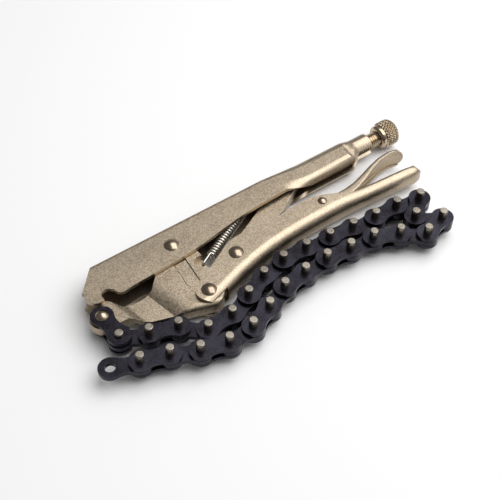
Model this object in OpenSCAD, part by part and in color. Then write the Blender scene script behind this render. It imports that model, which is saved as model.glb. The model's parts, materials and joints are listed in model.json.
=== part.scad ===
// Locking chain pliers, lying on their side with the chain laid out beside the handles.
// Tool frame: the jaw pivot is at x = y = 0, +X runs from the nose to the knob, +Y points to the
// upper handle's spine, and z = 0 is the middle plane of handles, jaw and chain.

/* [Handles] */
// Outer width of both handle channels
channel_w = 15; // [14:0.5:17]
// Sheet thickness of both handles
sheet_t = 2.1; // [1.8:0.1:2.3]
// Outer bend radius of the handle channels
bend_r = 3; // [2.6:0.1:4]
// Height of the upper handle's spine above the jaw pivot
spine_y = 13.7; // [13.2:0.1:15]
// Where the upper handle's edges begin to roll in
roll_x = 80; // [78:0.5:82]
// Where the rolled grip is fully formed
grip_x = 97; // [95:0.5:100]
// Where the grip ends and the neck begins
neck_x = 130; // [126:0.5:132]
// Length of the neck that leads down to the tube
neck_l = 8; // [6:0.5:10]
// Where the upper handle's tube ends
tube_end_x = 148.5; // [147:0.5:152]
// Depth of the rolled grip, from its spine to its lips
grip_depth = 19; // [18:0.5:20]
// Radius of the nose lobe in front of the hook notch
lobe_r = 6.2; // [5.8:0.1:6.6]
// Radius of the hook notch that takes a chain pin
notch_r = 3.6; // [3.2:0.1:3.8]
// Bend radius of the rolled grip
grip_bend_r = 6.8; // [6:0.1:7]
// Outer bend radius of the lower handle's rounded spine
lower_bend_r = 6; // [5:0.1:6.6]
// Width of the lower handle's tail
tail_w = 12.8; // [12:0.2:13.6]
// Depth of the lower handle's tail
tail_depth = 6.4; // [6:0.1:7]
// Where the lower handle's tail ends
tail_end_x = 158.4; // [156:0.2:164]
// Radius of the lower handle's ears round their pivot
ear_r = 7.4; // [6.8:0.1:7.8]

/* [Pivots] */
// Handle pivot, along the tool
handle_pivot_x = -0.6; // [-1.5:0.1:0.5]
// Handle pivot, below the jaw pivot
handle_pivot_y = -38.8; // [-39.5:0.1:-38]
// Toggle pivot, along the tool
toggle_pivot_x = 26.6; // [26:0.1:27.5]
// Toggle pivot, below the jaw pivot
toggle_pivot_y = -25.6; // [-26.2:0.1:-25]
// Lever pivot, along the tool
lever_pivot_x = 90.5; // [89.5:0.1:91.5]
// Lever pivot, below the jaw pivot
lever_pivot_y = -22.4; // [-23:0.1:-22]

/* [Rivets] */
// Shank diameter of the three large rivets
rivet_d = 6; // [5:0.1:6.5]
// Head diameter of the three large rivets
rivet_head_d = 8.6; // [8:0.1:9.4]
// Height of the large rivet heads
rivet_head_h = 1.6; // [1.2:0.1:2]
// Shank diameter of the lever rivet
lever_rivet_d = 3.6; // [3:0.1:4]
// Head diameter of the lever rivet
lever_rivet_head_d = 5.6; // [5:0.1:6]
// Height of the lever rivet's heads
lever_rivet_head_h = 1.2; // [0.8:0.1:1.4]

/* [Jaw] */
// Thickness of the nose where the chain is anchored
tongue_t = 5.5; // [5:0.1:6]
// Thickness of the ledge behind the tongue
ledge_t = 4.6; // [4.2:0.1:4.8]
// Thickness at the foot of the shoulder
foot_t = 4; // [3.6:0.1:4.2]
// Thickness in the valley between tongue and ledge
valley_t = 3.2; // [2.8:0.1:3.6]
// Length of the rounded shoulder
shoulder_l = 11.8; // [10.5:0.1:12.5]
// Radius of the tongue round the chain anchor
tongue_r = 7.2; // [6.6:0.1:7.6]
// Radius that rounds the jaw's lower edges
edge_r = 4.2; // [3.5:0.1:4.6]
// Width of the pill-shaped recess
pill_w = 7.5; // [6.5:0.1:8]
// Depth of the pill-shaped recess
pill_depth = 0.6; // [0.4:0.1:0.8]
// Radius of the pocket for the spring's hook
pocket_r = 5.3; // [4.8:0.1:5.6]
// Thickness of the web in the pocket
pocket_web_t = 2.6; // [2.2:0.1:2.8]

/* [Chain] */
// Chain pitch, a five-eighths inch standard
chain_pitch = 15.875; // [15.8:0.005:15.95]
// Plate height at the pins
link_d = 13; // [12:0.1:13.1]
// Plate height at the waist
waist_w = 9.4; // [8.6:0.1:9.6]
// Thickness of the outer plates
outer_plate_t = 2; // [1.6:0.1:2.2]
// Thickness of the single inner plates
inner_plate_t = 2.8; // [2.4:0.1:3]
// Chain pin diameter
pin_d = 5; // [4.5:0.1:5.2]
// Chain pin length
pin_l = 18.2; // [17.8:0.2:19]
// Length of the first chain pin
first_pin_l = 14.2; // [13.6:0.2:15]
// Hole at the free end of the chain
end_hole_d = 5.8; // [5.5:0.1:6.2]
// Head diameter of the anchor rivet
anchor_head_d = 7.4; // [6.8:0.1:7.8]
// Height of the anchor rivet's heads
anchor_head_h = 1.8; // [1.4:0.1:2]

/* [Toggle and lever] */
// Width of the toggle link
toggle_w = 12.8; // [12:0.2:13.2]
// Thickness of the toggle link
toggle_t = 6.4; // [5.6:0.2:6.4]
// Radius of the toggle link's end at the screw
toggle_end_r = 4; // [3.6:0.1:4.4]
// Distance from the toggle pivot to the bearing at the screw
toggle_l = 72.6; // [71.5:0.1:73.2]
// Sheet thickness of the release lever
lever_t = 1.6; // [1.4:0.1:1.8]
// Depth of the lever's channel at its pivot
lever_depth = 8; // [7.5:0.1:8.4]
// Width of the lever's paddle
paddle_w = 13.8; // [12.4:0.2:14.4]
// How far the lever's sides draw in where they pass between the tail's lips
lever_nip = 0.8; // [0.6:0.1:1]
// Where the lever's paddle ends
paddle_end_x = 159.4; // [157:0.1:162]

/* [Screw] */
// Major diameter of the adjusting screw
screw_d = 9.5; // [9:0.1:10]
// Height of the screw's axis above the jaw pivot
screw_y = 6; // [5.6:0.1:6.2]
// Thread pitch
thread_pitch = 1.5875; // [1.5:0.0125:1.75]
// Thread that shows between tube and knob
thread_show = 8.5; // [6:0.5:12]
// Knob diameter
knob_d = 17.2; // [16:0.2:18]
// Length of the knob's smooth collar
collar_l = 3.6; // [3:0.1:4.4]
// Length of the knurled head
knurl_l = 9; // [7:0.5:11]
// Number of flutes round the knurled head
flutes = 40; // [30:1:48]

/* [Spring] */
// Outer diameter of the coils
spring_d = 7.2; // [6.4:0.1:7.4]
// Wire diameter
wire_d = 1.3; // [1.1:0.05:1.4]
// Number of coils
coils = 21; // [18:1:22]
// Distance from coil to coil
coil_pitch = 2; // [1.9:0.05:2.1]

/* [Clearances] */
// Play between a wall and the piece that moves beside it
side_play = 0.3; // [0.25:0.05:0.4]
// Radial play of a pivot
run_fit = 0.05; // [0.03:0.01:0.08]
// Radial play of a pin that is fixed in its plate
fixed_fit = 0.03; // [0.02:0.01:0.05]
// Gap between chain plates
plate_gap = 0.3; // [0.25:0.05:0.4]
// Gap between the toggle link and the tip of the screw
tip_gap = 1; // [0.9:0.1:1.2]

/* [Hidden] */
$fn = 64;
slack = 1;
sliver = 0.1;
half_w = channel_w / 2;
inner_half = half_w - sheet_t;
moving_half = inner_half - side_play;

jaw_pivot = [0, 0];
handle_pivot = [handle_pivot_x, handle_pivot_y];
toggle_pivot = [toggle_pivot_x, toggle_pivot_y];
lever_pivot = [lever_pivot_x, lever_pivot_y];
toggle_rise = screw_y - toggle_pivot_y;
toggle_run = sqrt(toggle_l * toggle_l - toggle_rise * toggle_rise);
toggle_bearing = [toggle_pivot_x + toggle_run, screw_y];
screw_tip_x = toggle_bearing.x + toggle_end_r + tip_gap;
thread_bite = 0.3;
tube_r = screw_d / 2 + run_fit + sheet_t - thread_bite;
knob_x = tube_end_x + thread_show;
knob_end_x = knob_x + collar_l + knurl_l;

// The chain's lay: the heading of each link in degrees, from the anchor to the free end
lay = [-85.5, -27.5, -19.5, -42, 2, 21, 22.5, 11, -1.5, -5.5, -6, -5.5, -1, -11, -141,
       -36.5, -165, 145, 156, 174.5, 174, -177, -173, -158, -159.5, -177, 164, 152.5, 161, 156];
links = len(lay);
anchor = [-56, -18.8];
pins = [for (i = 0, p = anchor; i <= links;
        p = p + chain_pitch * [cos(lay[min(i, links - 1)]), sin(lay[min(i, links - 1)])], i = i + 1) p];
link_r = link_d / 2;
waist_r = (pow(chain_pitch / 2, 2) + pow(waist_w / 2, 2) - link_r * link_r) / (link_d - waist_w);
outer_z = inner_plate_t / 2 + plate_gap;
anchor_z = tongue_t / 2 + plate_gap;

// The part stands on its rivet heads and chain pins, with the middle of its box over the origin
rest_z = max(half_w + rivet_head_h, pin_l / 2, knob_d / 2);
box_x = [min([for (p = pins) p.x]) - link_r, knob_end_x];
box_y = [min([for (p = pins) p.y]) - link_r, max(spine_y, screw_y + knob_d / 2)];
place = [-(box_x[0] + box_x[1]) / 2, -(box_y[0] + box_y[1]) / 2, rest_z];

// Names of the chain's nodes
pin_links = ceil(links / 2);
function two_digits(i) = str(i < 10 ? "0" : "", i);
plates_name = [for (k = [1:pin_links]) str("pin_link_plates_", two_digits(k))];
pins_name = [for (k = [1:pin_links]) str("chain_pins_", two_digits(k))];
inner_name = [for (k = [1:links - pin_links]) str("inner_link_", two_digits(k))];

// Joint places in the part's own frame, in millimetres
echo(place = place);
echo(pins = [for (p = pins) [p.x + place.x, p.y + place.y]]);
echo(bearing = toggle_bearing, tip = screw_tip_x);

nickel = [0.66, 0.61, 0.54];
dark_steel = [0.2, 0.21, 0.25];
pin_steel = [0.45, 0.43, 0.4];
bright_steel = [0.75, 0.73, 0.7];
brassy = [0.62, 0.56, 0.45];

// A smooth curve y(x) through a few points, with matching slopes where its pieces meet
function slope(pts, i) =
    let (a = pts[max(i - 1, 0)], b = pts[min(i + 1, len(pts) - 1)]) (b.y - a.y) / (b.x - a.x);
function piece(pts, x, i = 0) = i >= len(pts) - 2 || x < pts[i + 1].x ? i : piece(pts, x, i + 1);
function curve_y(pts, x) =
    let (i = piece(pts, x), a = pts[i], b = pts[i + 1], h = b.x - a.x, t = (x - a.x) / h)
    a.y * (1 + 2 * t) * pow(1 - t, 2) + slope(pts, i) * h * t * pow(1 - t, 2)
    + b.y * t * t * (3 - 2 * t) + slope(pts, i + 1) * h * t * t * (t - 1);
function curve(pts, x0, x1, n) =
    [for (i = [0:n]) let (x = x0 + (x1 - x0) * i / n) [x, curve_y(pts, x)]];
function arc(c, r, a0, a1, n) =
    [for (i = [0:n]) let (a = a0 + (a1 - a0) * i / n) c + r * [cos(a), sin(a)]];
function reversed(v) = [for (i = [len(v) - 1:-1:0]) v[i]];

// One half of a bent channel's section, from the middle of its web to the end of its lip.
// Each entry holds the middle of the sheet (across, deep) and the outward direction there.
arc_steps = 6;
lip_steps = 3;
function half_section(w, r, t, wall, lip, turn) =
    let (wc = w - t / 2, rc = min(r, w - sliver, wall - sliver) - t / 2, bend = max(turn, 0.5),
         rl = lip * 180 / (PI * bend))
    concat(
        [[0, t / 2, 0, -1]],
        [for (k = [0:arc_steps]) let (a = 90 * k / arc_steps)
            [wc - rc + rc * sin(a), t / 2 + rc * (1 - cos(a)), sin(a), -cos(a)]],
        [for (k = [0:lip_steps]) let (a = bend * k / lip_steps)
            [wc - rl * (1 - cos(a)), wall + rl * sin(a), cos(a), sin(a)]]);
function mirrored(h) = [for (p = reversed(h)) [-p[0], p[1], -p[2], p[3]]];
function ring(x, y, side, half, t) =
    let (m = mirrored(half), path = concat([for (i = [0:len(m) - 2]) m[i]], half))
    concat(
        [for (p = path) [x, y + side * (p[1] + p[3] * t / 2), p[0] + p[2] * t / 2]],
        [for (p = reversed(path)) [x, y + side * (p[1] - p[3] * t / 2), p[0] - p[2] * t / 2]]);

// A bent sheet channel through a row of rings
module channel(rings, side) {
    n = len(rings[0]);
    m = len(rings);
    sides = [for (j = [0:m - 2], i = [0:n - 1]) let (a = j * n + i, b = j * n + (i + 1) % n)
        each [[a, b, a + n], [b, b + n, a + n]]];
    last = (m - 1) * n;
    caps = [for (i = [0:n / 2 - 2]) let (a = i, b = i + 1, c = n - 2 - i, d = n - 1 - i)
        each [[a, c, b], [a, d, c], [last + a, last + b, last + c], [last + a, last + c, last + d]]];
    all = concat(sides, caps);
    polyhedron(
        points = [for (r = rings) each r],
        faces = side > 0 ? all : [for (f = all) reversed(f)],
        convexity = 10);
}

// A prism of a side view, through the whole width of the tool
module across(h) translate([0, 0, -h / 2]) linear_extrude(h) children();

// A prism of a view from +Y with a round end as wide as a tail, to round it off
module round_tail(x0, x1, w) {
    depth = 4 * channel_w;
    body_w = channel_w + 2 * slack;
    translate([0, depth, 0]) rotate([90, 0, 0]) linear_extrude(4 * depth) {
        translate([x0, -body_w / 2]) square([x1 - w / 2 - x0, body_w]);
        translate([x1 - w / 2, 0]) circle(d = w);
    }
}

module bore(p, d, h) translate([p.x, p.y, -h / 2]) cylinder(d = d, h = h);

// Upper handle: pressed channel, hook notch at the nose, rolled grip, neck and tube
lobe = [-52.2, -6.2];
notch = [-46.6, -9.8];
tooth = [-38.4, -9.3];
tooth_r = 3.9;
nose_top = [-45, spine_y];
nose_front = [lobe.x - lobe_r, -2];
front_depth = 34;
lip_l = 6;
lip_turn = 88;
lip_r = lip_l * 180 / (PI * lip_turn);
upper_edge = [[tooth.x, tooth.y - tooth_r], [-29, -12.4], [-16, -11.9], [8.6, -10.4], [30, -7],
              [46, -4.6], [60, -3.5], [roll_x, -2.7]];
grip_wall = grip_depth - lip_r - sheet_t / 2;
tube_lip_turn = lip_l * 180 / (PI * (tube_r - sheet_t / 2));
upper_x = [nose_front.x - 4, 20, roll_x - 9, roll_x, (roll_x + grip_x) / 2 - 3, (roll_x + grip_x) / 2 + 3,
           grip_x, neck_x, neck_x + neck_l * 0.25, neck_x + neck_l * 0.5, neck_x + neck_l * 0.75,
           neck_x + neck_l, tube_end_x];
function upper_ring(x) =
    let (neck_end = neck_x + neck_l,
         n = x < neck_x ? 0 : min(1, (x - neck_x) / neck_l), ease = n * n * (3 - 2 * n),
         top = spine_y + (screw_y + tube_r - spine_y) * ease,
         w = half_w + (tube_r - half_w) * ease,
         bend = lookup(x, [[roll_x - 9, bend_r], [grip_x, grip_bend_r]]),
         r = bend + (tube_r - sliver - bend) * ease,
         edge = spine_y - upper_edge[len(upper_edge) - 1].y,
         wall = lookup(x, [[roll_x - 9, front_depth - lip_l], [roll_x, edge - lip_l],
                           [grip_x, grip_wall], [neck_x, grip_wall], [neck_end, tube_r + sliver]]),
         turn = lookup(x, [[roll_x, 0], [grip_x, lip_turn], [neck_x, lip_turn], [neck_end, tube_lip_turn]]))
    ring(x, top, -1, half_section(w, r, sheet_t, wall, lip_l, turn), sheet_t);

module upper_side() {
    edge = curve(upper_edge, tooth.x, roll_x, 24);
    below = spine_y - front_depth;
    difference() {
        union() {
            polygon(concat(
                [nose_top + [0.8, slack], nose_top + [-0.4, -1.4], nose_front, lobe, tooth],
                edge,
                [[roll_x, below], [tube_end_x + slack, below], [tube_end_x + slack, spine_y + slack]]));
            translate(lobe) circle(lobe_r);
            translate(tooth) circle(tooth_r);
        }
        translate(notch) circle(notch_r);
        translate([notch.x - notch_r, notch.y - 2 * lobe_r]) square([2 * notch_r, 2 * lobe_r]);
    }
}

// Lug for the spring's hook, pressed inward from the spine
lug_hole = [60.8, 8.6];
lug_w = 7;
lug_t = pocket_web_t;
hook_play = 0.3;
module spring_lug() {
    top = spine_y - sheet_t / 2;
    low = lug_hole.y - lug_w / 2;
    difference() {
        translate([lug_hole.x - lug_w / 2, low, -lug_t / 2]) cube([lug_w, top - low, lug_t]);
        bore(lug_hole, wire_d + 2 * hook_play, 2 * lug_t);
    }
}

module upper_handle() {
    color(nickel) {
        difference() {
            intersection() {
                channel([for (x = upper_x) upper_ring(x)], -1);
                across(2 * channel_w) upper_side();
            }
            bore(jaw_pivot, rivet_d + 2 * fixed_fit, 2 * channel_w);
            translate([screw_tip_x, screw_y, 0]) rotate([0, 90, 0])
                cylinder(d = screw_d + 2 * run_fit, h = tube_end_x);
        }
        spring_lug();
    }
}

// Lower handle: pressed channel with its spine on the far side from the upper handle
lower_spine = [[-12, -50.2], [1, -46.2], [12, -42.8], [26, -38.4], [44, -34.6], [62, -32.9], [82, -32.4],
               [105, -32.8], [125, -34.3], [145, -35.8], [153, -36.2], [160, -33.6]];
spine_start_x = 9;
ear_angle = 121;
tail_x = 111;
lower_edge = [[17.6, -21.8], [27, -17], [37, -15.8], [58.9, -17.6], [71, -16.4], [82, -16.2], [90, -17.2],
              [99, -21.1], [tail_x, curve_y(lower_spine, tail_x) + tail_depth - 2 * sliver]];
tail_lip = 1;
tip_r = 3;
tip = [tail_end_x - tip_r, curve_y(lower_spine, tail_end_x - tip_r) + tip_r - 2 * sliver];
tail_turn = 40;
lower_x = concat([-10, 0], [for (x = [10:12:94]) x], [tail_x - 9, tail_x, 117, 125, 135, 145, 150, 153, 156,
    tail_end_x]);
function lower_ring(x) =
    let (deep = lookup(x, [[tail_x - 9, front_depth], [tail_x, tail_depth], [150, tail_depth],
                           [tail_end_x, tail_depth * 0.66]]),
         turn = lookup(x, [[tail_x, 0], [125, tail_turn]]),
         w = lookup(x, [[tail_x - 9, half_w], [tail_x + 6, tail_w / 2]]),
         bend = lookup(x, [[tail_x - 9, lower_bend_r], [tail_x + 6, tail_depth]]))
    ring(x, curve_y(lower_spine, x), 1,
         half_section(w, bend, sheet_t, deep - tail_lip, tail_lip, turn), sheet_t);

module lower_side() {
    edge = curve(lower_edge, lower_edge[0].x, tail_x, 30);
    bottom = lower_spine[0].y - 2 * ear_r;
    above = lower_edge[0].y;
    difference() {
        union() {
            translate(handle_pivot) circle(ear_r);
            polygon(reversed(concat(
                [handle_pivot + (ear_r - sliver) * [cos(250), sin(250)], handle_pivot,
                 handle_pivot + (ear_r - sliver) * [cos(ear_angle), sin(ear_angle)]],
                edge,
                [[tail_x, above], [tip.x, above]],
                [for (a = [90:-15:-90]) tip + tip_r * [cos(a), sin(a)]],
                [[tip.x, bottom], [spine_start_x, bottom], [spine_start_x, lower_spine[2].y]])));
        }
        for (p = [handle_pivot, toggle_pivot]) translate(p) circle(d = rivet_d + 2 * fixed_fit);
        translate(lever_pivot) circle(d = lever_rivet_d + 2 * fixed_fit);
    }
}

module lower_handle() {
    color(nickel) difference() {
        intersection() {
            channel([for (x = lower_x) lower_ring(x)], 1);
            across(2 * channel_w) lower_side();
            round_tail(-4 * ear_r, tail_end_x, tail_w + 2 * sliver);
        }
        // The spine starts behind the ears, so that the jaw can turn between them
        translate([spine_start_x - 2 * ear_r, lower_spine[0].y, -inner_half])
            cube([2 * ear_r, 2 * ear_r, 2 * inner_half]);
    }
}

// Moving jaw: forging whose thickness steps down from the body to the nose
nose_slant = 12;
shoulder_s = 19.6;
ledge_s = shoulder_s + shoulder_l;
facet_s = ledge_s + 12.3;
valley_s = facet_s + 2.2;
tongue_s = valley_s + 2.8;
jaw_foot = [-24, -40];
throat = [-33.6, 6.4];
throat_r = 26.6;
throat_from = 251;
throat_to = 279;
cut_reach = 100;
lower_edge_dir = 161.6;
jaw_ear_r = 8.2;
pill = [[-1.9, -11.7], [-3.5, -27.3]];
pocket = [8.6, -19.4];
hook_hole = [9.1, -18.4];

// Half thickness along the nose, as points (distance along the nose, half thickness)
shoulder_drop = moving_half - foot_t / 2;
shoulder_r = (shoulder_l * shoulder_l + shoulder_drop * shoulder_drop) / (2 * shoulder_drop);
shoulder_a = asin(shoulder_l / shoulder_r);
jaw_top = concat(
    [[-40, moving_half]],
    arc([shoulder_s, moving_half - shoulder_r], shoulder_r, 90, 90 - shoulder_a, 10),
    [[ledge_s, ledge_t / 2], [facet_s, ledge_t / 2], [valley_s, valley_t / 2], [tongue_s, tongue_t / 2],
     [90, tongue_t / 2]]);

module jaw_thickness() {
    outline = concat(jaw_top, [for (p = reversed(jaw_top)) [p[0], -p[1]]]);
    rotate([0, 0, 180 + nose_slant]) translate([0, cut_reach, 0]) rotate([90, 0, 0])
        linear_extrude(2 * cut_reach) polygon(outline);
}

module jaw_side() {
    body_r = spine_y - sheet_t - 2;
    difference() {
        union() {
            translate(jaw_pivot) circle(body_r);
            translate(handle_pivot) circle(jaw_ear_r);
            translate(anchor) circle(tongue_r);
            polygon(reversed(concat(
                [[body_r - sliver, 0], [10.6, -9], [10.6, -24.5], handle_pivot + [jaw_ear_r - sliver, 0],
                 handle_pivot, handle_pivot + (jaw_ear_r - sliver) * [cos(250), sin(250)], jaw_foot,
                 [-33.6, -37.6], [-38.8, -33.2], [-41.6, -28.4], [-44.5, -27.2], [-50.3, -26.6],
                 anchor + (tongue_r - sliver) * [cos(270), sin(270)], anchor,
                 anchor + (tongue_r - sliver) * [cos(95), sin(95)],
                 [-53.6, -10.4], [-49.7, -9.2], [-45.8, -12]],
                arc(throat, throat_r, throat_from, throat_to, 10),
                [[-24.5, -18.2], [-17.6, -11.4], [sliver - body_r, 0]])));
        }
        for (p = [jaw_pivot, handle_pivot]) translate(p) circle(d = rivet_d + 2 * run_fit);
        translate(anchor) circle(d = pin_d + 2 * run_fit);
        translate(hook_hole) circle(d = wire_d + 2 * hook_play);
    }
}

// A bar whose two long edges are rounded, for the jaw's lower edge
module rounded_edge() {
    n = [cos(lower_edge_dir + 90), sin(lower_edge_dir + 90)];
    reach = n * jaw_foot;
    r = min(edge_r, moving_half - 0.2);
    rotate([0, 0, lower_edge_dir + 90]) translate([0, cut_reach, 0]) rotate([90, 0, 0])
        linear_extrude(2 * cut_reach) {
        translate([-cut_reach, -2 * moving_half]) square([cut_reach + reach - r, 4 * moving_half]);
        translate([-cut_reach, r - moving_half]) square([cut_reach + reach, 2 * (moving_half - r)]);
        for (s = [-1, 1]) translate([reach - r, s * (moving_half - r + sliver)]) circle(r);
    }
}

module pill_recess() {
    run = pill[1] - pill[0];
    translate([0, 0, moving_half - pill_depth]) linear_extrude(2 * pill_depth) {
        for (p = pill) translate(p) circle(d = pill_w);
        translate(pill[0]) rotate(atan2(run.y, run.x)) translate([0, (sliver - pill_w) / 2])
            square([norm(run), pill_w - sliver]);
    }
}

module moving_jaw() {
    color(nickel) difference() {
        intersection() {
            across(2 * channel_w) jaw_side();
            jaw_thickness();
            rounded_edge();
        }
        for (s = [-1, 1]) translate([pocket.x, pocket.y, s * (pocket_web_t / 2 + channel_w / 2)])
            cylinder(r = pocket_r, h = channel_w, center = true);
        pill_recess();
    }
}

// Toggle link: plate from the lower handle up to the tip of the screw
toggle_taper = 46;
module toggle_link() {
    a = atan2(toggle_rise, toggle_run);
    r = toggle_w / 2;
    color(nickel) difference() {
        translate([toggle_pivot.x, toggle_pivot.y, 0]) rotate([0, 0, a]) across(toggle_t) {
            circle(r);
            polygon([[0, -r], [toggle_taper, -r], [toggle_l, -toggle_end_r], [toggle_l, toggle_end_r],
                     [toggle_taper, r], [0, r]]);
            translate([toggle_l, 0]) circle(toggle_end_r);
        }
        bore(toggle_pivot, rivet_d + 2 * run_fit, 2 * channel_w);
    }
}

// Release lever: narrow channel that opens towards the lower handle and ends in a paddle
lever_back = [[78, -17.9], [86, -18], [96, -18.6], [104, -19.1], [113, -18.8], [123, -16.9], [134, -13.9],
              [144, -12], [151, -12], [156, -13.4], [160, -15.6]];
lever_start_x = 79;
lever_x = concat([lever_start_x], [for (x = [86:8:150]) x],
                 [paddle_end_x - 5.4, paddle_end_x - 2.4, paddle_end_x]);
lever_lip = 1.5;
lever_bend_r = 2.4;
function lever_ring(x) =
    let (deep = lookup(x, [[82, lever_depth * 0.6], [86, lever_depth], [98, lever_depth], [114, 5.6],
                           [126, 4.6], [138, lever_t + 1.4], [150, lever_t + 0.8]]),
         lip = lookup(x, [[126, lever_lip], [150, lever_lip * 0.4]]),
         free_half = moving_half - 0.1,
         w = lookup(x, [[94, free_half], [tail_x - 9, free_half - lever_nip], [118, free_half - lever_nip],
                        [132, (moving_half + paddle_w / 2) / 2], [148, paddle_w / 2]]))
    ring(x, curve_y(lever_back, x), -1,
         half_section(w, lever_bend_r, lever_t, deep - lip, lip, 8), lever_t);
module release_lever() {
    color(nickel) difference() {
        intersection() {
            channel([for (x = lever_x) lever_ring(x)], -1);
            round_tail(0, paddle_end_x, paddle_w + 2 * sliver);
        }
        bore(lever_pivot, lever_rivet_d + 2 * run_fit, 2 * channel_w);
    }
}

// Solid of revolution round an axis along X at the screw's height
module along_screw(x) translate([x, screw_y, 0]) rotate([0, 90, 0]) rotate_extrude() children();

// Adjusting screw: threaded rod from the toggle link's end to the knob
thread_depth = 0.6134 * thread_pitch;
module adjusting_screw() {
    r = screw_d / 2;
    rod_l = knob_x + collar_l - fixed_fit - screw_tip_x;
    turns = floor((rod_l - collar_l - 1) / thread_pitch);
    crests = [for (i = [0:turns - 1]) let (x = 1 + i * thread_pitch)
        each [[r, x], [r - thread_depth, x + thread_pitch * 0.5], [r, x + thread_pitch * 0.88]]];
    color(brassy) along_screw(screw_tip_x)
        polygon(concat([[0, 0], [r - thread_depth, 0]], crests,
                       [[r, rod_l - collar_l], [r, rod_l], [0, rod_l]]));
}

// Knob: smooth collar, groove and knurled head, fixed on the end of the screw
groove_l = 1.1;
groove_d = knob_d - 3;
flute_depth = 0.45;
chamfer = 1.1;
module knurled_knob() {
    r = knob_d / 2;
    bore_r = screw_d / 2 + fixed_fit;
    color(brassy) {
        along_screw(knob_x) polygon([
            [bore_r, 0], [r - 2 * chamfer, 0], [r - chamfer, chamfer], [r - chamfer, collar_l - groove_l],
            [groove_d / 2, collar_l - groove_l], [groove_d / 2, collar_l + slack],
            [bore_r, collar_l + slack]]);
        intersection() {
            translate([knob_x + collar_l, screw_y, 0]) rotate([0, 90, 0]) linear_extrude(knurl_l)
                polygon([for (i = [0:2 * flutes - 1]) let (a = 180 * i / flutes)
                    (r - (i % 2) * flute_depth) * [cos(a), sin(a)]]);
            along_screw(knob_x + collar_l) polygon([
                [0, 0], [r - chamfer, 0], [r + slack, chamfer + slack],
                [r + slack, knurl_l - chamfer - slack], [r - chamfer, knurl_l], [0, knurl_l]]);
        }
    }
}

// Tension spring: hook in the jaw's pocket, close coils, hook in the lug
coil_r = (spring_d - wire_d) / 2;
spring_run = lug_hole - hook_hole;
spring_len = norm(spring_run);
spring_dir = spring_run / spring_len;
spring_side = [-spring_dir.y, spring_dir.x];
coil_start = 8.6;
coil_end = coil_start + coils * coil_pitch;
hook_bend = 1.2;
leg_end = coil_r + hook_bend;
curl_rings = 8;
function on_spring(s, side, z) =
    [hook_hole.x + spring_dir.x * s + spring_side.x * side,
     hook_hole.y + spring_dir.y * s + spring_side.y * side, z];
spring_path = concat(
    [on_spring(0, 0, -leg_end), on_spring(0, 0, -leg_end + wire_d), on_spring(0, 0, coil_r - hook_bend)],
    [on_spring(hook_bend * 0.3, 0, coil_r - hook_bend * 0.3), on_spring(hook_bend, 0, coil_r),
     on_spring(coil_start - coil_pitch / 2, 0, coil_r)],
    [for (i = [0:coils * curl_rings]) let (a = 90 + 360 * i / curl_rings)
        on_spring(coil_start + coil_pitch * i / curl_rings, coil_r * cos(a), coil_r * sin(a))],
    [on_spring(coil_end + coil_pitch / 2, 0, coil_r), on_spring(spring_len - hook_bend, 0, coil_r),
     on_spring(spring_len - hook_bend * 0.3, 0, coil_r - hook_bend * 0.3),
     on_spring(spring_len, 0, coil_r - hook_bend), on_spring(spring_len, 0, -leg_end + wire_d),
     on_spring(spring_len, 0, -leg_end)]);

function unit(v) = v / norm(v);
function tangent(p, i) = unit(p[min(i + 1, len(p) - 1)] - p[max(i - 1, 0)]);
// Each ring's first direction is the last one, turned as little as the path turns
function carried(v, t) = unit(v - (v * t) * t);
wire_sides = 6;
first_side = [spring_side.x, spring_side.y, 0];
spring_frames = [for (i = 0, v = first_side; i < len(spring_path);
    i = i + 1, v = i < len(spring_path) ? carried(v, tangent(spring_path, i)) : v) v];

module wire(path, frames, d) {
    n = wire_sides;
    m = len(path);
    points = [for (i = [0:m - 1]) let (t = tangent(path, i), u = frames[i], w = cross(t, u))
        each [for (k = [0:n - 1]) path[i] + d / 2 * (cos(360 * k / n) * u + sin(360 * k / n) * w)]];
    sides = [for (j = [0:m - 2], k = [0:n - 1]) let (a = j * n + k, b = j * n + (k + 1) % n)
        each [[a, a + n, b], [b, a + n, b + n]]];
    caps = [for (k = [1:n - 2]) each [[0, k, k + 1], [(m - 1) * n, (m - 1) * n + k + 1, (m - 1) * n + k]]];
    polyhedron(points = points, faces = concat(sides, caps));
}

// Least gap of the wire to itself, over pairs of points at least half a curl apart
spring_gap = min([for (i = [0:len(spring_path) - 1], j = [i + curl_rings / 2:1:len(spring_path) - 1])
    norm(spring_path[i] - spring_path[j])]) - wire_d;
echo(spring_gap = spring_gap);

module tension_spring() color(dark_steel) wire(spring_path, spring_frames, wire_d);

// Rivet with two domed heads, centred on the middle plane
module rivet(p, d, head_d, head_h, grip) {
    r = head_d / 2;
    dome_r = (r * r + head_h * head_h) / (2 * head_h);
    a = asin(r / dome_r);
    translate([p.x, p.y, 0]) {
        cylinder(d = d, h = grip, center = true);
        for (s = [0, 1]) mirror([0, 0, s]) translate([0, 0, grip / 2]) rotate_extrude()
            polygon(concat([[0, 0]], arc([0, head_h - dome_r], dome_r, 90 - a, 90, 6)));
    }
}

module jaw_pivot_rivet() color(bright_steel) rivet(jaw_pivot, rivet_d, rivet_head_d, rivet_head_h, channel_w);
module handle_pivot_rivet()
    color(bright_steel) rivet(handle_pivot, rivet_d, rivet_head_d, rivet_head_h, channel_w);
module toggle_rivet() color(bright_steel) rivet(toggle_pivot, rivet_d, rivet_head_d, rivet_head_h, channel_w);
module lever_rivet()
    color(bright_steel) rivet(lever_pivot, lever_rivet_d, lever_rivet_head_d, lever_rivet_head_h, channel_w);
module chain_anchor_rivet()
    color(bright_steel) rivet(anchor, pin_d, anchor_head_d, anchor_head_h, 2 * (anchor_z + outer_plate_t));

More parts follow.
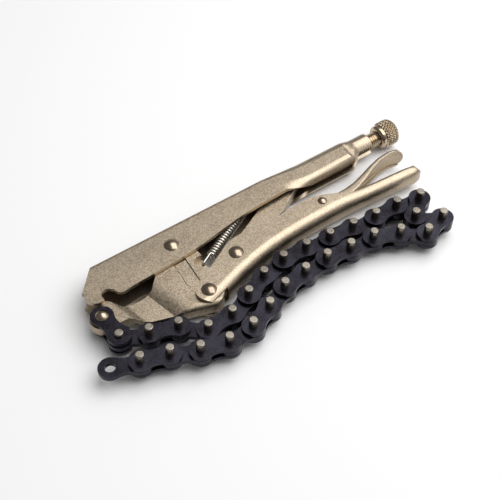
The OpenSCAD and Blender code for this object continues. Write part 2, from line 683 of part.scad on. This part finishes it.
// Chain plate with two round ends and a waist, along +X from its first pin
module plate(t, hole_a, hole_b) {
    middle = chain_pitch / 2;
    across(t) difference() {
        union() {
            circle(link_r);
            translate([chain_pitch, 0]) circle(link_r);
            translate([0, -waist_w / 2 - 1]) square([chain_pitch, waist_w + 2]);
        }
        for (s = [-1, 1]) translate([middle, s * (waist_w / 2 + waist_r)]) circle(waist_r);
        circle(d = hole_a);
        translate([chain_pitch, 0]) circle(d = hole_b);
    }
}

module at_link(i) translate([pins[i].x, pins[i].y, 0]) rotate([0, 0, lay[i]]) children();

// Two outer plates; the first pair is spread by the jaw's tongue
module pin_link_plates(k) {
    z = (k == 0 ? anchor_z : outer_z) + outer_plate_t / 2;
    hole = pin_d + 2 * fixed_fit;
    color(dark_steel) for (s = [-1, 1])
        at_link(2 * k) translate([0, 0, s * z]) plate(outer_plate_t, hole, hole);
}

// Chain pin with chamfered ends
pin_chamfer = 0.5;
module chain_pin(p, l) {
    r = pin_d / 2;
    translate([p.x, p.y, -l / 2]) rotate_extrude() polygon([
        [0, 0], [r - pin_chamfer, 0], [r, pin_chamfer], [r, l - pin_chamfer], [r - pin_chamfer, l], [0, l]]);
}
module chain_pins(k) {
    color(pin_steel) if (k == 0) {
        chain_pin(pins[1], first_pin_l);
    } else {
        for (i = [2 * k, 2 * k + 1]) chain_pin(pins[i], pin_l);
    }
}

module inner_link(k) {
    hole = pin_d + 2 * run_fit;
    last = 2 * k + 2 == links;
    color(dark_steel) at_link(2 * k + 1) plate(inner_plate_t, hole, last ? end_hole_d : hole);
}

// Washers that fill the spread first pair of plates beside the first inner plate
module anchor_spacers() {
    t = anchor_z - outer_z;
    color(pin_steel) for (s = [-1, 1])
        translate([pins[1].x, pins[1].y, s * (outer_z + t / 2)]) difference() {
            cylinder(d = link_d - 2, h = t, center = true);
            cylinder(d = pin_d + 2 * fixed_fit, h = 2 * t, center = true);
        }
}

translate(place) {
    upper_handle();
    lower_handle();
    moving_jaw();
    toggle_link();
    release_lever();
    adjusting_screw();
    knurled_knob();
    tension_spring();
    jaw_pivot_rivet();
    handle_pivot_rivet();
    toggle_rivet();
    lever_rivet();
    chain_anchor_rivet();
    anchor_spacers();
    for (k = [0:pin_links - 1]) {
        pin_link_plates(k);
        chain_pins(k);
    }
    for (k = [0:links - pin_links - 1]) {
        inner_link(k);
    }
}
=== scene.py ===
"""Looks of the locking chain pliers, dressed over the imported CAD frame."""
import json
import math

import bpy
import bmesh
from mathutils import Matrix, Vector


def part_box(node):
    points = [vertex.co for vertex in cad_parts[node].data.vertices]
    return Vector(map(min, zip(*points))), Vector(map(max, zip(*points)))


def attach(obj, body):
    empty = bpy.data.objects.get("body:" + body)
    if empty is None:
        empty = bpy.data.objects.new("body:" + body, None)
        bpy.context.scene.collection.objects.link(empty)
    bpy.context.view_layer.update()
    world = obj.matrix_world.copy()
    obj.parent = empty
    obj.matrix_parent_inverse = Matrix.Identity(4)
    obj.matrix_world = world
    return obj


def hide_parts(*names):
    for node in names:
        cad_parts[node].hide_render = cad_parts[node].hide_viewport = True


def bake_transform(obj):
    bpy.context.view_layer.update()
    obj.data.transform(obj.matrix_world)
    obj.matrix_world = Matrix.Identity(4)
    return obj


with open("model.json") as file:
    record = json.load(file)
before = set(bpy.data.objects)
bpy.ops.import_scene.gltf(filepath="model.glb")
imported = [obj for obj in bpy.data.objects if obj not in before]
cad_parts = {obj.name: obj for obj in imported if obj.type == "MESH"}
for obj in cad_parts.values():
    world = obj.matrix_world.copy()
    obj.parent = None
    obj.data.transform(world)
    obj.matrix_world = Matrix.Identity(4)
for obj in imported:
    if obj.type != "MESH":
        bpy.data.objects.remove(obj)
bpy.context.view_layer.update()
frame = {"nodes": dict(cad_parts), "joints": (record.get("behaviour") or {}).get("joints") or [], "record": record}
NODES = frame["nodes"]
BODY_OF = {n: b for b, ns in frame["record"]["behaviour"]["bodies"].items() for n in ns}
SLOT_OF = {s["node"]: s["material_slot"] for s in frame["record"]["subparts"]}
scene = bpy.context.scene
scene.view_settings.view_transform = "Standard"

# Tool frame: jaw rivet at the origin, z = 0 on the middle plane, millimetres
PIVOT = Vector(next(j["pos_m"] for j in frame["joints"] if j["name"] == "jaw_pivot"))
MM_PER_M = 1000
SIDES = (1, -1)


def row(x, y, z=0.0):
    """A point of the tool frame, in millimetres, as a point of the row frame, in metres."""
    return Vector((x / MM_PER_M, y / MM_PER_M, z / MM_PER_M)) + PIVOT


# camera of the photograph
EYE = (-170.32, -313.89, 412.97)
AZ, EL = math.radians(35.6), math.radians(49.15)
LOOK = Vector((math.sin(AZ) * math.cos(EL), math.cos(AZ) * math.cos(EL), -math.sin(EL)))
camera_data = bpy.data.cameras.new("photo_camera")
camera = bpy.data.objects.new("photo_camera", camera_data)
scene.collection.objects.link(camera)
scene.camera = camera
camera_data.sensor_width = 36
camera_data.lens = 68.9
camera_data.clip_start = 0.01
camera.location = row(*EYE)
camera.rotation_euler = LOOK.to_track_quat("-Z", "Y").to_euler()


# materials
BLOTCH_DETAIL, GRAIN_DETAIL, GRAIN_DEPTH = 4, 2, 0.0001


def rgb(r, g, b):
    """A colour written as 0-255 screen values, as linear light by the sRGB curve."""
    lin = [v / 255 / 12.92 if v <= 10.3 else ((v / 255 + 0.055) / 1.055) ** 2.4 for v in (r, g, b)]
    return (*lin, 1.0)


def noise(nt, pos, scale, detail):
    node = nt.nodes.new("ShaderNodeTexNoise")
    node.inputs["Scale"].default_value = scale
    node.inputs["Detail"].default_value = detail
    nt.links.new(pos, node.inputs["Vector"])
    return node.outputs["Fac"]


def math_node(nt, operation, a, b, c=None):
    node = nt.nodes.new("ShaderNodeMath")
    node.operation = operation
    for socket, v in zip(node.inputs, (a, b, c)):
        if isinstance(v, (int, float)):
            socket.default_value = v
        elif v is not None:
            nt.links.new(v, socket)
    return node.outputs[0]


def material(name, low, high, rough, metallic=1.0, grain=1600, blotch=70, fine_share=0.6,
             bump=0.25, contrast=(0.36, 0.64)):
    """Metal whose colour and roughness run from low to high in soft blotches and fine specks.

    The specks are raised in its surface as well.
    """
    m = bpy.data.materials.new(name)
    m.use_nodes = True
    nt = m.node_tree
    nt.nodes.clear()
    new, link = nt.nodes.new, nt.links.new
    out = new("ShaderNodeOutputMaterial")
    bsdf = new("ShaderNodeBsdfPrincipled")
    link(bsdf.outputs["BSDF"], out.inputs["Surface"])
    bsdf.inputs["Metallic"].default_value = metallic
    pos = new("ShaderNodeTexCoord").outputs["Object"]
    big = noise(nt, pos, blotch, BLOTCH_DETAIL)
    fine = noise(nt, pos, grain, GRAIN_DETAIL)
    broad = math_node(nt, "MULTIPLY", big, 1 - fine_share)
    both = math_node(nt, "MULTIPLY_ADD", fine, fine_share, broad)
    ramp = new("ShaderNodeValToRGB")
    stops = ramp.color_ramp.elements
    stops[0].position, stops[1].position = contrast
    stops[0].color, stops[1].color = low, high
    link(both, ramp.inputs["Fac"])
    link(ramp.outputs["Color"], bsdf.inputs["Base Color"])
    spread = new("ShaderNodeMapRange")
    spread.inputs["From Min"].default_value, spread.inputs["From Max"].default_value = contrast
    spread.inputs["To Min"].default_value, spread.inputs["To Max"].default_value = rough
    link(both, spread.inputs["Value"])
    link(spread.outputs["Result"], bsdf.inputs["Roughness"])
    bumps = new("ShaderNodeBump")
    bumps.inputs["Strength"].default_value = bump
    bumps.inputs["Distance"].default_value = GRAIN_DEPTH
    link(fine, bumps.inputs["Height"])
    link(bumps.outputs["Normal"], bsdf.inputs["Normal"])
    return m


MATERIALS = {
    "pressed_steel": material(
        "nickel_plate", rgb(156, 141, 121), rgb(198, 183, 162), (0.3, 0.46),
        fine_share=0.84, bump=0.5, contrast=(0.4, 0.6)),
    "forged_steel": material(
        "nickel_forging", rgb(154, 139, 119), rgb(198, 183, 162), (0.3, 0.48),
        grain=1300, fine_share=0.82, bump=0.55, contrast=(0.4, 0.6)),
    "rivet_steel": material(
        "turned_rivet", rgb(140, 124, 106), rgb(180, 164, 145), (0.1, 0.2), grain=1900, bump=0.1),
    "screw_steel": material(
        "plated_screw", rgb(158, 141, 118), rgb(204, 188, 165), (0.12, 0.24), grain=1700, bump=0.06),
    "spring_steel": material(
        "spring_wire", rgb(206, 200, 190), rgb(236, 231, 222), (0.26, 0.36), grain=2400, bump=0.06),
    "chain_plate_steel": material(
        "blued_plate", rgb(34, 32, 37), rgb(58, 56, 65), (0.22, 0.36),
        metallic=0.9, blotch=110, fine_share=0.45, bump=0.16),
    "chain_pin_steel": material(
        "pin_steel", rgb(126, 119, 109), rgb(168, 160, 148), (0.22, 0.36), grain=2000, bump=0.12),
}


# geometry
WELD_M, SEAM_M = 2e-6, 1e-7  # points nearer than this are one: in the CAD meshes, in the skins here
AXIS_R = 1e-4  # radius that stands for a point on an axis
BALL_DETAIL = 4
BEVEL_ANGLE, SHADE_ANGLE, NORMAL_WEIGHT = 38, 42, 80


def add_object(name, data):
    obj = bpy.data.objects.new(name, data)
    scene.collection.objects.link(obj)
    return obj


def dress(obj, node, rides=True):
    """The piece takes the finish of a CAD node, stands for it and rides with its body."""
    obj.data.materials.clear()
    obj.data.materials.append(MATERIALS[SLOT_OF[node]])
    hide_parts(node)
    if rides:
        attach(obj, BODY_OF[node])


def smooth_by_angle(mesh, degrees):
    """Smooth shading, with sharp edges where faces meet at more than the angle."""
    limit = math.radians(degrees)
    bm = bmesh.new()
    bm.from_mesh(mesh)
    for f in bm.faces:
        f.smooth = True
    for e in bm.edges:
        if len(e.link_faces) == 2:
            e.smooth = e.calc_face_angle(0.0) < limit
    bm.to_mesh(mesh)
    bm.free()


def apply_modifiers(obj):
    bpy.context.view_layer.update()
    graph = bpy.context.evaluated_depsgraph_get()
    mesh = bpy.data.meshes.new_from_object(obj.evaluated_get(graph))
    obj.modifiers.clear()
    obj.data = mesh


def even_normals(obj):
    """Flats stay flat and the rounded edges between them shade smoothly."""
    smooth_by_angle(obj.data, SHADE_ANGLE)
    weigh = obj.modifiers.new("weigh", "WEIGHTED_NORMAL")
    weigh.mode = "FACE_AREA"
    weigh.weight = NORMAL_WEIGHT
    weigh.keep_sharp = True
    apply_modifiers(obj)


def dent(obj, centre, radius, stretch):
    """A hollow cut into a piece by a ball that is stretched along y, in mm of the tool frame."""
    mesh = bpy.data.meshes.new("ball")
    bm = bmesh.new()
    bmesh.ops.create_icosphere(bm, subdivisions=BALL_DETAIL, radius=radius / MM_PER_M)
    bm.to_mesh(mesh)
    bm.free()
    ball = add_object("ball", mesh)
    ball.location = row(*centre)
    ball.scale.y = stretch
    press = obj.modifiers.new("press", "BOOLEAN")
    press.operation = "DIFFERENCE"
    press.solver = "EXACT"
    press.object = ball
    apply_modifiers(obj)
    bpy.data.objects.remove(ball)


def rounded_copy(node, width, segments=2, flat_angle=0.6, dents=()):
    """A copy of a CAD node's mesh, with its sharp edges rounded over by a width in mm.

    Faces that meet at less than flat_angle are joined first. Each dent is (centre, radius, stretch).
    """
    bm = bmesh.new()
    bm.from_mesh(NODES[node].data)
    bmesh.ops.remove_doubles(bm, verts=bm.verts, dist=WELD_M)
    bmesh.ops.dissolve_limit(bm, angle_limit=math.radians(flat_angle), verts=bm.verts, edges=bm.edges)
    mesh = bpy.data.meshes.new(node + "_form")
    bm.to_mesh(mesh)
    bm.free()
    obj = add_object(node + "_form", mesh)
    bevel = obj.modifiers.new("round", "BEVEL")
    bevel.width = width / MM_PER_M
    bevel.segments = segments
    bevel.limit_method = "ANGLE"
    bevel.angle_limit = math.radians(BEVEL_ANGLE)
    bevel.use_clamp_overlap = True
    apply_modifiers(obj)
    for centre, radius, stretch in dents:
        dent(obj, centre, radius, stretch)
    even_normals(obj)
    dress(obj, node)


def skin(name, rings, caps=True, wrap=True):
    """A skin through rings of equal length; caps are fans round the middles of its ends."""
    n = len(rings[0])
    verts = [Vector(p) for r in rings for p in r]
    faces = [(j * n + i, j * n + (i + 1) % n, (j + 1) * n + (i + 1) % n, (j + 1) * n + i)
             for j in range(len(rings) - 1) for i in range(n if wrap else n - 1)]
    if caps:
        for ring in (0, len(rings) - 1):
            c = len(verts)
            verts.append(sum((Vector(p) for p in rings[ring]), Vector()) / n)
            faces += [(ring * n + i, ring * n + (i + 1) % n, c) for i in range(n)]
    mesh = bpy.data.meshes.new(name)
    mesh.from_pydata(verts, [], faces)
    bm = bmesh.new()
    bm.from_mesh(mesh)
    bmesh.ops.remove_doubles(bm, verts=bm.verts, dist=SEAM_M)
    bmesh.ops.recalc_face_normals(bm, faces=bm.faces)
    bm.to_mesh(mesh)
    bm.free()
    return mesh


def lathe_rings(profile, origin, axis, steps):
    """Rings of a solid of revolution: profile points are (along the axis, radius), in mm."""
    axis = Vector(axis).normalized()
    side = axis.orthogonal().normalized()
    other = axis.cross(side)
    turn = [2 * math.pi * i / steps for i in range(steps)]

    def at(s, r, a):
        out = side * math.cos(a) + other * math.sin(a)
        return origin + (axis * s + out * max(r, AXIS_R)) / MM_PER_M

    return [[at(s, r, a) for a in turn] for s, r in profile]


# sheet and forged pieces
SHEET_EDGE, LEVER_EDGE, JAW_EDGE = 0.3, 0.25, 0.45
CURVED = 0.1  # flat_angle of pieces with gentle curves
NECK_DENTS = [((131.4, -14.0, side * 10.6), 5.0, 6.0) for side in SIDES]
# two jaw corners are eased, because they graze the lower handle when it is open
JAW_EASE = [((-7.75, -40.65, side * 5.3), 0.7, 1.0) for side in SIDES]
rounded_copy("upper_handle", SHEET_EDGE, dents=NECK_DENTS)
rounded_copy("lower_handle", SHEET_EDGE, flat_angle=CURVED)
rounded_copy("release_lever", LEVER_EDGE, flat_angle=CURVED)
rounded_copy("toggle_link", SHEET_EDGE, flat_angle=CURVED)
rounded_copy("moving_jaw", JAW_EDGE, flat_angle=CURVED, dents=JAW_EASE)

# bead round the pill-shaped recess of the jaw
PILL = (Vector((-1.9, -11.7)), Vector((-3.5, -27.3)))
PILL_R, BEAD_R, BEAD_Z = 3.85, 0.28, 5.02
PILL_STEPS, BEAD_STEPS, BEAD_SHADE = 16, 8, 60
heading = math.atan2(PILL[1].y - PILL[0].y, PILL[1].x - PILL[0].x)
loop = [(end, heading + math.pi / 2 + math.pi * (k + i / PILL_STEPS))
        for k, end in enumerate(PILL) for i in range(PILL_STEPS + 1)]
beads = []
for end, a in loop + loop[:1]:
    out = Vector((math.cos(a), math.sin(a)))
    ring = []
    for k in range(BEAD_STEPS):
        b = 2 * math.pi * k / BEAD_STEPS
        q = end + out * (PILL_R + BEAD_R * math.cos(b))
        ring.append(row(q.x, q.y, BEAD_Z + BEAD_R * math.sin(b)))
    beads.append(ring)
bead = add_object("jaw_pill_bead", skin("jaw_pill_bead", beads, caps=False))
smooth_by_angle(bead.data, BEAD_SHADE)
bead.data.materials.append(MATERIALS["forged_steel"])
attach(bead, BODY_OF["moving_jaw"])

# chain
PLATE_EDGE, PIN_EDGE = 0.3, 0.12
for node in NODES:
    if node.startswith(("pin_link_plates", "inner_link")):
        rounded_copy(node, PLATE_EDGE)
    elif node.startswith(("chain_pins", "anchor_spacers")):
        rounded_copy(node, PIN_EDGE, segments=1)

# rivets: domed heads on an upright rim, a little higher than the CAD's
HEAD_H = {"lever_rivet": 1.2, "chain_anchor_rivet": 1.8}
SHANK_R = {"lever_rivet": 1.8, "chain_anchor_rivet": 2.5}
USUAL_HEAD_H, USUAL_SHANK_R = 1.6, 3.0
RIM, CROWN_SHARE = 0.3, 0.12
DOME_STEPS, RIVET_STEPS, RIVET_SHADE = 20, 72, 50


def rivet(node):
    lo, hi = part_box(node)
    centre = Vector(((lo[0] + hi[0]) / 2, (lo[1] + hi[1]) / 2, (lo[2] + hi[2]) / 2))
    half = (hi[2] - lo[2]) / 2 * MM_PER_M
    r = (hi[0] - lo[0]) / 2 * MM_PER_M
    h = HEAD_H.get(node, USUAL_HEAD_H)
    dome = h + CROWN_SHARE * r - RIM
    head = [(half - h + RIM + dome * (1 - (i / DOME_STEPS) ** 2), r * i / DOME_STEPS)
            for i in range(DOME_STEPS)]
    head += [(half - h + RIM, r), (half - h, r), (half - h, SHANK_R.get(node, USUAL_SHANK_R))]
    profile = head + [(-s, q) for s, q in reversed(head)]
    rings = lathe_rings(profile, centre, (0, 0, 1), RIVET_STEPS)
    obj = add_object(node + "_form", skin(node + "_form", rings))
    smooth_by_angle(obj.data, RIVET_SHADE)
    dress(obj, node)


for node in [n for n in NODES if n.endswith("_rivet")]:
    rivet(node)

# adjusting screw: helical thread of 60 degrees, plain at the tip
SCREW_Y, SCREW_R, PITCH, DEPTH = 6.0, 4.75, 1.5875, 0.974
TIP_X, KNOB_X, COLLAR, KNURL = 96.96, 157.0, 3.6, 9.0
THREAD = [(0.0, 1.0), (0.125, 1.0), (0.3125, 0.5), (0.5, 0.0), (0.625, 0.0), (0.8125, 0.5)]
THREAD_START, PLAIN_ENDS = 0.8, 1.2
TIP_R, TIP_CHAMFER = 3.3, 0.5
STEPS, SCREW_SHADE = 48, 32
CORE_R, REACH = SCREW_R - DEPTH, KNOB_X - TIP_X
SWELL = 0.02  # the core swells by this towards the knob, so that it covers the thread's roots
SWELL_GAP, KNOB_GAP = 0.2, 0.05
turns = int((REACH - PLAIN_ENDS) / PITCH)


def screw_point(x, r, a):
    """A point of the tool at x along the screw, at radius r and angle a round its axis."""
    return row(x, SCREW_Y + r * math.cos(a), r * math.sin(a))


strip = []
for j in range(turns * STEPS + 1):
    a, x0 = 2 * math.pi * j / STEPS, TIP_X + THREAD_START + PITCH * j / STEPS
    fade = min(1.0, j / STEPS, (turns * STEPS - j) / STEPS)
    strip.append([screw_point(x0 + PITCH * u, CORE_R + DEPTH * h * fade, a) for u, h in THREAD])
    strip[-1].append(screw_point(x0 + PITCH, CORE_R + DEPTH * fade, a))
thread = skin("adjusting_screw_form", strip, caps=False, wrap=False)
core_end = REACH + COLLAR - KNOB_GAP
core_profile = [(0.0, 0.0), (0.0, TIP_R), (TIP_CHAMFER, CORE_R), (REACH - SWELL_GAP, CORE_R + SWELL),
                (core_end, CORE_R + SWELL), (core_end, 0.0)]
core_rings = lathe_rings(core_profile, row(TIP_X, SCREW_Y), (1, 0, 0), STEPS)
core = skin("screw_core", core_rings, caps=False)
bm = bmesh.new()
bm.from_mesh(thread)
bm.from_mesh(core)
bm.to_mesh(thread)
bm.free()
screw = add_object("adjusting_screw_form", thread)
smooth_by_angle(thread, SCREW_SHADE)
dress(screw, "adjusting_screw")

# knob: collar, groove and a head with a diamond knurl
KNOB_R, CHAMFER, GROOVE, GROOVE_R, BORE_R = 8.6, 1.1, 1.1, 7.1, 4.78
DIAMONDS, AXIAL, KNURL_DEPTH, KNURL_TOP = 26, 2.6, 0.9, 0.8
AROUND, ROWS, KNOB_SHADE = DIAMONDS * 8, 45, 28
FACE_R, RIDGE_R = KNOB_R - 2 * CHAMFER, KNOB_R - CHAMFER
EDGE, SOFT, FILLET, END_EDGE = 0.2, 0.1, 0.15, 0.4
GROOVE_S = COLLAR - GROOVE


def ridge(f):
    return abs(2 * (f % 1.0) - 1)


def knob_ring(s, r, cut):
    """One ring of the knob, s from its front; cut is how deep its knurl goes, 0 to 1."""
    ring = []
    for i in range(AROUND):
        t = DIAMONDS * i / AROUND
        high = min(ridge(t + s / AXIAL), ridge(t - s / AXIAL), KNURL_TOP) / KNURL_TOP
        radius = max(r - cut * KNURL_DEPTH * (1 - high), AXIS_R)
        ring.append(screw_point(KNOB_X + s, radius, 2 * math.pi * i / AROUND))
    return ring


collar = [(COLLAR - SOFT, 0.0), (COLLAR - SOFT, BORE_R), (EDGE, BORE_R), (0.0, BORE_R + EDGE),
          (0.0, FACE_R - EDGE), (SOFT, FACE_R), (CHAMFER - SOFT, RIDGE_R - SOFT),
          (CHAMFER + SOFT, RIDGE_R), (GROOVE_S - EDGE, RIDGE_R), (GROOVE_S, RIDGE_R - EDGE),
          (GROOVE_S, GROOVE_R + FILLET), (GROOVE_S + FILLET, GROOVE_R),
          (COLLAR - FILLET, GROOVE_R), (COLLAR, GROOVE_R + FILLET)]
rings = [knob_ring(s, r, 0) for s, r in collar]
for j in range(ROWS + 1):
    s = KNURL * j / ROWS
    edge = min(s, KNURL - s)
    r = RIDGE_R + min(edge, CHAMFER)
    rings.append(knob_ring(COLLAR + s, r, min(1.0, max(0.0, edge / CHAMFER))))
END = COLLAR + KNURL
rings += [knob_ring(END, RIDGE_R - END_EDGE, 0), knob_ring(END, 0.0, 0)]
knob = add_object("knurled_knob_form", skin("knurled_knob_form", rings, caps=False))
smooth_by_angle(knob.data, KNOB_SHADE)
dress(knob, "knurled_knob")

# tension spring: one wire with a hook at each end, open coils between them
COIL_R, WIRE_R, COILS, COIL_PITCH, COIL_START, HOOK_BEND = 2.95, 0.65, 21, 2.0, 8.6, 1.2
HOOK, LUG = Vector((9.1, -18.4)), Vector((60.8, 8.6))
FOOT_STEP, FOOT_POINTS = 0.2, 3
RUN_STEP, RUN_POINTS, RUN_GAP = 0.5, 10, 0.3
TURN, BEND_STEPS, HALF_WIRE_STEPS = 24, 8, 5
WIRE_END, WIRE_SHADE = 0.75, 60
along = (LUG - HOOK).normalized()
span = (LUG - HOOK).length
aside = Vector((-along.y, along.x))


def on_spring(s, side, z):
    """A point s along the spring's axis from the hook, aside of it and at height z, in mm."""
    p = HOOK + along * s + aside * side
    return row(p.x, p.y, z)


def bend(s0, sign):
    """The quarter bend between a hook's upright and its run, at the end s0."""
    turn = [math.pi / 2 * i / BEND_STEPS for i in range(BEND_STEPS + 1)]
    return [on_spring(s0 + sign * HOOK_BEND * (1 - math.cos(a)), 0,
                      COIL_R - HOOK_BEND * (1 - math.sin(a))) for a in turn]


coil_end = COIL_START + COILS * COIL_PITCH
low = -(COIL_R + HOOK_BEND)
feet = [low + FOOT_STEP * i for i in range(FOOT_POINTS)]
path = [on_spring(0, 0, z) for z in feet] + bend(0, 1)
run_in = [COIL_START - COIL_PITCH * 0.5 - RUN_STEP * i for i in reversed(range(RUN_POINTS))]
path += [on_spring(s, 0, COIL_R) for s in run_in if s > HOOK_BEND + RUN_GAP]
for i in range(COILS * TURN + 1):
    a = math.pi / 2 + 2 * math.pi * i / TURN
    path.append(on_spring(COIL_START + COIL_PITCH * i / TURN,
                          COIL_R * math.cos(a), COIL_R * math.sin(a)))
run_out = [coil_end + COIL_PITCH * 0.5 + RUN_STEP * i for i in range(RUN_POINTS)]
path += [on_spring(s, 0, COIL_R) for s in run_out if s < span - HOOK_BEND - RUN_GAP]
path += list(reversed(bend(span, -1))) + [on_spring(span, 0, z) for z in reversed(feet)]

up = Vector((aside.x, aside.y, 0))
wire_turn = [k * math.pi / HALF_WIRE_STEPS for k in range(2 * HALF_WIRE_STEPS)]
tube = []
for i, p in enumerate(path):
    d = (path[min(i + 1, len(path) - 1)] - path[max(i - 1, 0)]).normalized()
    up = (up - d * up.dot(d)).normalized()
    w = d.cross(up)
    size = WIRE_R * (WIRE_END if i in (0, len(path) - 1) else 1) / MM_PER_M
    tube.append([p + (up * math.cos(a) + w * math.sin(a)) * size for a in wire_turn])
spring = add_object("tension_spring_form", skin("tension_spring_form", tube))
smooth_by_angle(spring.data, WIRE_SHADE)
dress(spring, "tension_spring", rides=False)
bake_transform(spring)

# floor: white paper
FLOOR_HALF, FLOOR_Z = 20.0, -0.0002
PAPER_WHITE, PAPER_ROUGH = 0.99, 0.9
floor_mesh = bpy.data.meshes.new("floor")
corners = [(x * FLOOR_HALF, y * FLOOR_HALF, 0) for x, y in ((-1, -1), (1, -1), (1, 1), (-1, 1))]
floor_mesh.from_pydata(corners, [], [(0, 1, 2, 3)])
floor = add_object("floor", floor_mesh)
floor.location.z = FLOOR_Z
floor_mat = bpy.data.materials.new("floor_paper")
floor_mat.use_nodes = True
paper = floor_mat.node_tree.nodes["Principled BSDF"]
paper.inputs["Base Color"].default_value = (PAPER_WHITE, PAPER_WHITE, PAPER_WHITE, 1)
paper.inputs["Roughness"].default_value = PAPER_ROUGH
paper.inputs["Specular IOR Level"].default_value = 0.0
floor_mesh.materials.append(floor_mat)

# world: a tent that is bright overhead, leaning to the tool's tail, and dim towards the other side
TENT_AXIS = Vector((0.6, -0.12, 0.79)).normalized()
TENT_LOW, TENT_HIGH = 0.2, 1.1
TENT_STOPS = ((0.3, 0.18), (0.6, 0.31), (0.76, 0.6), (0.9, 0.88))


def grey(level):
    return (level, level, level, 1)


world = bpy.data.worlds.new("studio")
scene.world = world
world.use_nodes = True
nt = world.node_tree
lean = nt.nodes.new("ShaderNodeVectorMath")
lean.operation = "DOT_PRODUCT"
lean.inputs[1].default_value = TENT_AXIS
nt.links.new(nt.nodes.new("ShaderNodeTexCoord").outputs["Generated"], lean.inputs[0])
tent = nt.nodes.new("ShaderNodeValToRGB")
levels = tent.color_ramp.elements
for place, level in TENT_STOPS:
    levels.new(place).color = grey(level)
levels[0].color = grey(TENT_LOW)
levels[-1].color = grey(TENT_HIGH)
nt.links.new(lean.outputs["Value"], tent.inputs["Fac"])
nt.links.new(tent.outputs["Color"], nt.nodes["Background"].inputs["Color"])

# one large softbox overhead
LAMP_AT = Vector((0.36, -0.08, 0.84))
LAMP_SIZE, LAMP_WATTS = (1.05, 0.95), 6.9
lamp_data = bpy.data.lights.new("overhead_light", "AREA")
lamp_data.shape = "RECTANGLE"
lamp_data.size, lamp_data.size_y = LAMP_SIZE
lamp_data.energy = LAMP_WATTS
lamp = add_object("overhead_light", lamp_data)
lamp.location = LAMP_AT
lamp.rotation_euler = (-LAMP_AT).to_track_quat("-Z", "Y").to_euler()
